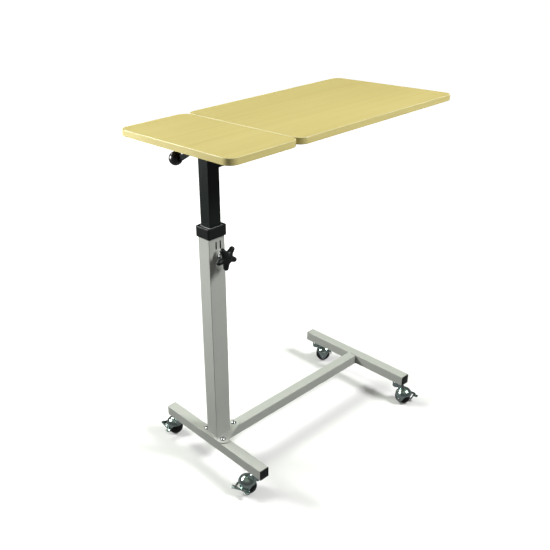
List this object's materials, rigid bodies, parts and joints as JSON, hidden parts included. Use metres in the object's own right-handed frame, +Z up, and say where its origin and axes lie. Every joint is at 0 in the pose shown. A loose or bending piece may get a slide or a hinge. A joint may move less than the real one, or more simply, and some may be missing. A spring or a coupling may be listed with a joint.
{
  "type": "overbed table",
  "caption": "Height-adjustable overbed table: C-shaped base on braked ball casters, telescopic column with clamp knob, small fixed top beside a tilting main top.",
  "frame": {"origin": "on the floor, below the middle of the table top", "axes": "+X along the top from the column end to the free end, +Y across the top away from the clamp knob, +Z up"},
  "size_m": [0.81, 0.4695, 0.972],
  "materials": {
    "grey_paint": "light grey powder coat, satin",
    "black_paint": "black powder coat, satin",
    "black_plastic": "moulded black plastic, fine texture",
    "gloss_black": "polished black plastic",
    "zinc_steel": "zinc plated",
    "dark_chrome": "plated, bright",
    "caster_chrome": "plated, bright, slightly green",
    "brass_pad": "machined",
    "maple_board": "light laminate with fine straight grain, satin"
  },
  "bodies": {
    "base": {"front_crossbar": "grey_paint", "rear_crossbar": "grey_paint", "stem_tube": "grey_paint", "crossbar_end_caps": "black_plastic", "column_flange": "grey_paint", "flange_bolts": "dark_chrome", "flange_nuts": "zinc_steel", "outer_column": "grey_paint", "column_collar": "black_plastic", "clamp_boss": "grey_paint", "caster_nuts": "zinc_steel", "caster_stems": "zinc_steel"},
    "mast": {"inner_column": "black_paint", "glide_shoe": "black_plastic", "support_arm": "black_paint", "arm_end_cap": "black_plastic", "shaft_bearings": "black_paint", "tilt_clamp": "black_paint", "clamp_bolt": "zinc_steel", "small_top_rails": "black_paint", "small_top_crossbars": "black_paint", "small_top": "maple_board", "small_top_screws": "zinc_steel"},
    "tilting_top": {"tilt_shaft": "zinc_steel", "shaft_clips": "zinc_steel", "main_top_rails": "black_paint", "main_top_crossbars": "black_paint", "main_top": "maple_board", "main_top_screws": "zinc_steel"},
    "lever": {"tilt_lever": "zinc_steel", "lever_ball": "gloss_black"},
    "clamp_pad": {"pressure_pad": "brass_pad"},
    "knob": {"clamp_screw": "zinc_steel", "clamp_washer": "dark_chrome", "star_knob": "black_plastic"},
    "fork_1": {"caster_fork_1": "caster_chrome", "caster_axle_1": "zinc_steel"},
    "wheel_1": {"caster_wheel_1": "gloss_black"},
    "brake_1": {"caster_brake_1": "caster_chrome"},
    "fork_2": {"caster_fork_2": "caster_chrome", "caster_axle_2": "zinc_steel"},
    "wheel_2": {"caster_wheel_2": "gloss_black"},
    "brake_2": {"caster_brake_2": "caster_chrome"},
    "fork_3": {"caster_fork_3": "caster_chrome", "caster_axle_3": "zinc_steel"},
    "wheel_3": {"caster_wheel_3": "gloss_black"},
    "brake_3": {"caster_brake_3": "caster_chrome"},
    "fork_4": {"caster_fork_4": "caster_chrome", "caster_axle_4": "zinc_steel"},
    "wheel_4": {"caster_wheel_4": "gloss_black"},
    "brake_4": {"caster_brake_4": "caster_chrome"}
  },
  "joints": [
    {"name": "height", "type": "slide", "parent": "base", "child": "mast", "axis": [0, 0, 1], "range_m": [-0.14, 0.13]},
    {"name": "main_tilt", "type": "hinge", "parent": "mast", "child": "tilting_top", "pos_m": [-0.1, 0, 0.941], "axis": [1, 0, 0], "range_deg": [-45, 45]},
    {"name": "clamp_lever", "type": "hinge", "parent": "mast", "child": "lever", "pos_m": [-0.293, 0.032, 0.926], "axis": [0, 0, 1], "range_deg": [0, 60]},
    {"name": "clamp_travel", "type": "slide", "parent": "base", "child": "clamp_pad", "axis": [0, -1, 0], "range_m": [0, 0.0031]},
    {"name": "knob_turn", "type": "hinge", "parent": "clamp_pad", "child": "knob", "pos_m": [-0.293, 0, 0.6725], "axis": [0, -1, 0], "range_deg": [0, 720]},
    {"name": "swivel_1", "type": "hinge", "parent": "base", "child": "fork_1", "pos_m": [-0.309, 0.17, 0.06], "axis": [0, 0, 1], "continuous": true},
    {"name": "roll_1", "type": "hinge", "parent": "fork_1", "child": "wheel_1", "pos_m": [-0.30552, 0.19476, 0.024], "axis": [-0.9903, 0.1392, 0], "continuous": true},
    {"name": "brake_1_press", "type": "hinge", "parent": "fork_1", "child": "brake_1", "pos_m": [-0.30441, 0.20268, 0.028], "axis": [-0.9903, 0.1392, 0], "range_deg": [0, 12]},
    {"name": "swivel_2", "type": "hinge", "parent": "base", "child": "fork_2", "pos_m": [-0.309, -0.17, 0.06], "axis": [0, 0, 1], "continuous": true},
    {"name": "roll_2", "type": "hinge", "parent": "fork_2", "child": "wheel_2", "pos_m": [-0.32035, -0.14772, 0.024], "axis": [-0.891, -0.454, 0], "continuous": true},
    {"name": "brake_2_press", "type": "hinge", "parent": "fork_2", "child": "brake_2", "pos_m": [-0.32398, -0.1406, 0.028], "axis": [-0.891, -0.454, 0], "range_deg": [0, 12]},
    {"name": "swivel_3", "type": "hinge", "parent": "base", "child": "fork_3", "pos_m": [0.322, 0.17, 0.06], "axis": [0, 0, 1], "continuous": true},
    {"name": "roll_3", "type": "hinge", "parent": "fork_3", "child": "wheel_3", "pos_m": [0.33905, 0.15172, 0.024], "axis": [0.7314, 0.682, 0], "continuous": true},
    {"name": "brake_3_press", "type": "hinge", "parent": "fork_3", "child": "brake_3", "pos_m": [0.34451, 0.14586, 0.028], "axis": [0.7314, 0.682, 0], "range_deg": [0, 12]},
    {"name": "swivel_4", "type": "hinge", "parent": "base", "child": "fork_4", "pos_m": [0.322, -0.17, 0.06], "axis": [0, 0, 1], "continuous": true},
    {"name": "roll_4", "type": "hinge", "parent": "fork_4", "child": "wheel_4", "pos_m": [0.32634, -0.19462, 0.024], "axis": [0.9848, 0.1736, 0], "continuous": true},
    {"name": "brake_4_press", "type": "hinge", "parent": "fork_4", "child": "brake_4", "pos_m": [0.32773, -0.2025, 0.028], "axis": [0.9848, 0.1736, 0], "range_deg": [0, 12]}
  ],
  "couplings": [
    {"joint": "clamp_travel", "follows": "knob_turn", "m_per_rad": 0.00023873}
  ]
}
